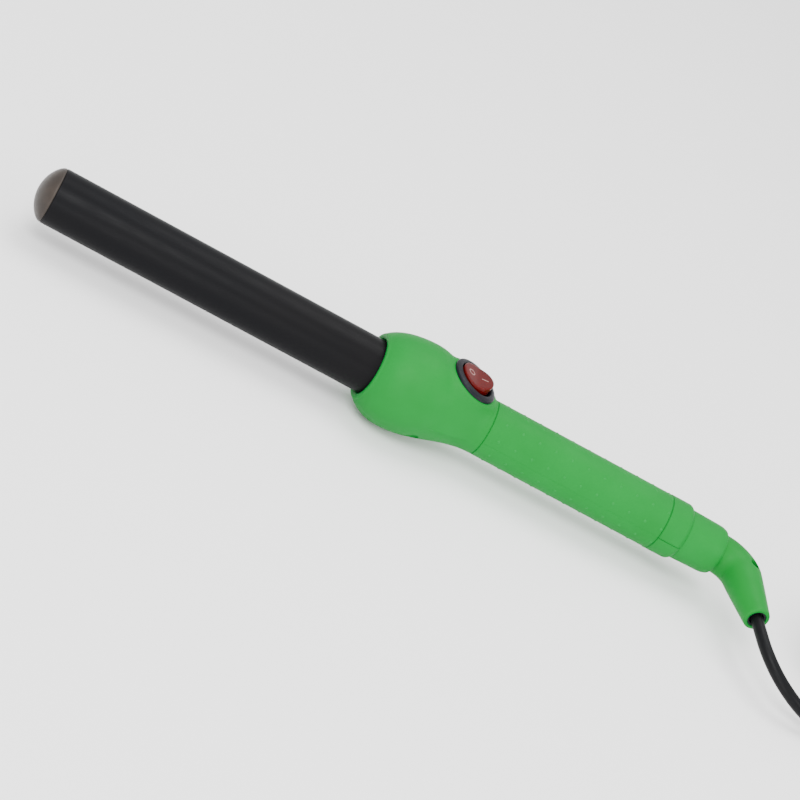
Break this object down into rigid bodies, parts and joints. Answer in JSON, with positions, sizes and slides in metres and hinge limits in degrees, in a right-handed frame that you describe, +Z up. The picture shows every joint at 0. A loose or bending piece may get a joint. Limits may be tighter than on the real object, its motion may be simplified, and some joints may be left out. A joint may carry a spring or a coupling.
{
  "type": "curling iron",
  "caption": "Clipless curling wand with a straight heated barrel, bulb-headed handle, round rocker switch, swivelling cord elbow and a coiled mains cord.",
  "frame": {"origin": "middle of the wand's footprint on the table that it lies on, measured without the cord, coil and plug", "axes": "+X along the barrel's axis from the domed tip towards the cord end, +Z up through the switch side of the handle, -Y the side that the cord elbow points to"},
  "size_m": [0.5261, 0.1073, 0.0429],
  "materials": {
    "barrel_coating": "satin black baked coating with a fine even grain",
    "tip_plastic": "satin brown-grey heat-resistant moulding",
    "ceramic": "matt fired ceramic",
    "copper": "plain rolled copper",
    "film": "amber insulating film",
    "aluminium": "extruded, unpolished",
    "heat_plastic": "matt black glass-filled moulding",
    "steel": "zinc-plated steel",
    "lead_sleeve": "braided glass sleeve",
    "blue_lead": "smooth silicone insulation",
    "green_handle": "soft-touch satin green coating",
    "green_elbow": "smooth satin green elastomer",
    "switch_plastic": "slate-black semi-gloss moulding",
    "red_rocker": "clear red moulding with pale switch marks",
    "white_plastic": "plain off-white acetal",
    "brass": "plain stamped brass",
    "lamp_glass": "neon glow lamp",
    "cord_black": "smooth satin black PVC",
    "tie_rubber": "matt black elastic strap",
    "plug_metal": "nickel-plated brass"
  },
  "bodies": {
    "handle": {"barrel": "barrel_coating", "tip_cap": "tip_plastic", "ptc_stones": "ceramic", "electrode_strips": "copper", "insulation_film": "film", "upper_spreader": "aluminium", "lower_spreader": "aluminium", "barrel_bush": "heat_plastic", "bush_screws": "steel", "thermal_fuse": "ceramic", "heater_leads": "lead_sleeve", "supply_leads": "blue_lead", "crimp_sleeves": "steel", "handle_upper_shell": "green_handle", "handle_lower_shell": "green_handle", "shell_screws": "steel", "switch_housing": "switch_plastic", "switch_lamp": "lamp_glass", "switch_terminals": "brass", "brush_block": "heat_plastic", "contact_brushes": "copper"},
    "rocker": {"switch_rocker": "red_rocker", "rocker_plunger": "white_plastic"},
    "contact_lever": {"contact_lever": "brass"},
    "swivel": {"swivel_spindle": "white_plastic", "slip_rings": "brass", "spindle_clip": "steel", "swivel_ferrule": "green_handle", "swivel_leads": "blue_lead", "elbow_relief": "green_elbow", "cord_lead": "cord_black", "cord_coil": "cord_black", "cord_tail": "cord_black", "cord_tie": "tie_rubber", "plug_body": "cord_black", "plug_pins": "plug_metal"}
  },
  "joints": [
    {"name": "rocker", "type": "hinge", "parent": "handle", "child": "rocker", "pos_m": [0.01884, 0.00747, 0.03676], "axis": [0, 1, 0], "range_deg": [0, 20]},
    {"name": "contact_lever", "type": "hinge", "parent": "handle", "child": "contact_lever", "pos_m": [0.01665, 0.00747, 0.02886], "axis": [0, 1, 0], "range_deg": [-12, 0]},
    {"name": "cord_swivel", "type": "hinge", "parent": "handle", "child": "swivel", "pos_m": [0.13545, 0.00747, 0.02105], "axis": [1, 0, 0], "continuous": true}
  ],
  "couplings": [
    {"joint": "contact_lever", "follows": "rocker", "ratio": -0.6}
  ]
}
